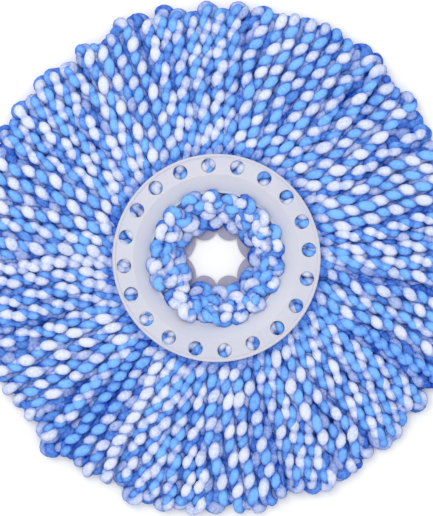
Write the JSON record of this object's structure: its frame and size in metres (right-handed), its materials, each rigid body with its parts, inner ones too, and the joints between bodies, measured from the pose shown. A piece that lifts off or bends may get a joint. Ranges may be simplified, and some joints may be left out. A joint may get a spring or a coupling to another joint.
{
  "type": "spin mop head",
  "caption": "Round spin mop refill head: a milky plastic clamp ring with drain holes and a star-hole base plate, gripping a thick fringe of twisted microfibre yarn.",
  "frame": {"origin": "centre of the underside, on the head's axis: the level of the floor that the head lies on", "axes": "+Z along the head's axis, towards the ring that the mop's disc snaps into; +Y and -Y through the two deep points of the centre star hole"},
  "size_m": [0.3936, 0.3936, 0.0228],
  "materials": {
    "ring_plastic": "satin",
    "plate_plastic": "satin",
    "yarn": "matte"
  },
  "bodies": {
    "root": {"clamp_ring": "ring_plastic", "base_plate": "plate_plastic", "clamped_yarn": "yarn", "inner_loops_01": "yarn", "inner_loops_02": "yarn", "inner_loops_03": "yarn", "inner_loops_04": "yarn", "inner_loops_05": "yarn", "inner_loops_06": "yarn", "inner_loops_07": "yarn", "inner_loops_08": "yarn", "inner_loops_09": "yarn", "inner_loops_10": "yarn", "inner_loops_11": "yarn", "inner_loops_12": "yarn", "inner_loops_13": "yarn", "inner_loops_14": "yarn", "inner_loops_15": "yarn", "inner_loops_16": "yarn", "inner_loops_17": "yarn", "inner_loops_18": "yarn", "inner_loops_19": "yarn", "inner_loops_20": "yarn"},
    "tuft_01": {"tuft_01": "yarn"},
    "tuft_02": {"tuft_02": "yarn"},
    "tuft_03": {"tuft_03": "yarn"},
    "tuft_04": {"tuft_04": "yarn"},
    "tuft_05": {"tuft_05": "yarn"},
    "tuft_06": {"tuft_06": "yarn"},
    "tuft_07": {"tuft_07": "yarn"},
    "tuft_08": {"tuft_08": "yarn"},
    "tuft_09": {"tuft_09": "yarn"},
    "tuft_10": {"tuft_10": "yarn"},
    "tuft_11": {"tuft_11": "yarn"},
    "tuft_12": {"tuft_12": "yarn"},
    "tuft_13": {"tuft_13": "yarn"},
    "tuft_14": {"tuft_14": "yarn"},
    "tuft_15": {"tuft_15": "yarn"},
    "tuft_16": {"tuft_16": "yarn"},
    "tuft_17": {"tuft_17": "yarn"},
    "tuft_18": {"tuft_18": "yarn"},
    "tuft_19": {"tuft_19": "yarn"},
    "tuft_20": {"tuft_20": "yarn"}
  },
  "joints": [
    {"name": "tuft_01_hang", "type": "hinge", "parent": "root", "child": "tuft_01", "pos_m": [0.09165, 0.00802, 0.011], "axis": [-0.0872, 0.9962, 0], "range_deg": [-25, 70]},
    {"name": "tuft_02_hang", "type": "hinge", "parent": "root", "child": "tuft_02", "pos_m": [0.08469, 0.03595, 0.011], "axis": [-0.3907, 0.9205, 0], "range_deg": [-25, 70]},
    {"name": "tuft_03_hang", "type": "hinge", "parent": "root", "child": "tuft_03", "pos_m": [0.06943, 0.06036, 0.011], "axis": [-0.6561, 0.7547, 0], "range_deg": [-25, 70]},
    {"name": "tuft_04_hang", "type": "hinge", "parent": "root", "child": "tuft_04", "pos_m": [0.04738, 0.07886, 0.011], "axis": [-0.8572, 0.515, 0], "range_deg": [-25, 70]},
    {"name": "tuft_05_hang", "type": "hinge", "parent": "root", "child": "tuft_05", "pos_m": [0.0207, 0.08964, 0.011], "axis": [-0.9744, 0.225, 0], "range_deg": [-25, 70]},
    {"name": "tuft_06_hang", "type": "hinge", "parent": "root", "child": "tuft_06", "pos_m": [-0.00802, 0.09165, 0.011], "axis": [-0.9962, -0.0872, 0], "range_deg": [-25, 70]},
    {"name": "tuft_07_hang", "type": "hinge", "parent": "root", "child": "tuft_07", "pos_m": [-0.03595, 0.08469, 0.011], "axis": [-0.9205, -0.3907, 0], "range_deg": [-25, 70]},
    {"name": "tuft_08_hang", "type": "hinge", "parent": "root", "child": "tuft_08", "pos_m": [-0.06036, 0.06943, 0.011], "axis": [-0.7547, -0.6561, 0], "range_deg": [-25, 70]},
    {"name": "tuft_09_hang", "type": "hinge", "parent": "root", "child": "tuft_09", "pos_m": [-0.07886, 0.04738, 0.011], "axis": [-0.515, -0.8572, 0], "range_deg": [-25, 70]},
    {"name": "tuft_10_hang", "type": "hinge", "parent": "root", "child": "tuft_10", "pos_m": [-0.08964, 0.0207, 0.011], "axis": [-0.225, -0.9744, 0], "range_deg": [-25, 70]},
    {"name": "tuft_11_hang", "type": "hinge", "parent": "root", "child": "tuft_11", "pos_m": [-0.09165, -0.00802, 0.011], "axis": [0.0872, -0.9962, 0], "range_deg": [-25, 70]},
    {"name": "tuft_12_hang", "type": "hinge", "parent": "root", "child": "tuft_12", "pos_m": [-0.08469, -0.03595, 0.011], "axis": [0.3907, -0.9205, 0], "range_deg": [-25, 70]},
    {"name": "tuft_13_hang", "type": "hinge", "parent": "root", "child": "tuft_13", "pos_m": [-0.06943, -0.06036, 0.011], "axis": [0.6561, -0.7547, 0], "range_deg": [-25, 70]},
    {"name": "tuft_14_hang", "type": "hinge", "parent": "root", "child": "tuft_14", "pos_m": [-0.04738, -0.07886, 0.011], "axis": [0.8572, -0.515, 0], "range_deg": [-25, 70]},
    {"name": "tuft_15_hang", "type": "hinge", "parent": "root", "child": "tuft_15", "pos_m": [-0.0207, -0.08964, 0.011], "axis": [0.9744, -0.225, 0], "range_deg": [-25, 70]},
    {"name": "tuft_16_hang", "type": "hinge", "parent": "root", "child": "tuft_16", "pos_m": [0.00802, -0.09165, 0.011], "axis": [0.9962, 0.0872, 0], "range_deg": [-25, 70]},
    {"name": "tuft_17_hang", "type": "hinge", "parent": "root", "child": "tuft_17", "pos_m": [0.03595, -0.08469, 0.011], "axis": [0.9205, 0.3907, 0], "range_deg": [-25, 70]},
    {"name": "tuft_18_hang", "type": "hinge", "parent": "root", "child": "tuft_18", "pos_m": [0.06036, -0.06943, 0.011], "axis": [0.7547, 0.6561, 0], "range_deg": [-25, 70]},
    {"name": "tuft_19_hang", "type": "hinge", "parent": "root", "child": "tuft_19", "pos_m": [0.07886, -0.04738, 0.011], "axis": [0.515, 0.8572, 0], "range_deg": [-25, 70]},
    {"name": "tuft_20_hang", "type": "hinge", "parent": "root", "child": "tuft_20", "pos_m": [0.08964, -0.0207, 0.011], "axis": [0.225, 0.9744, 0], "range_deg": [-25, 70]}
  ]
}
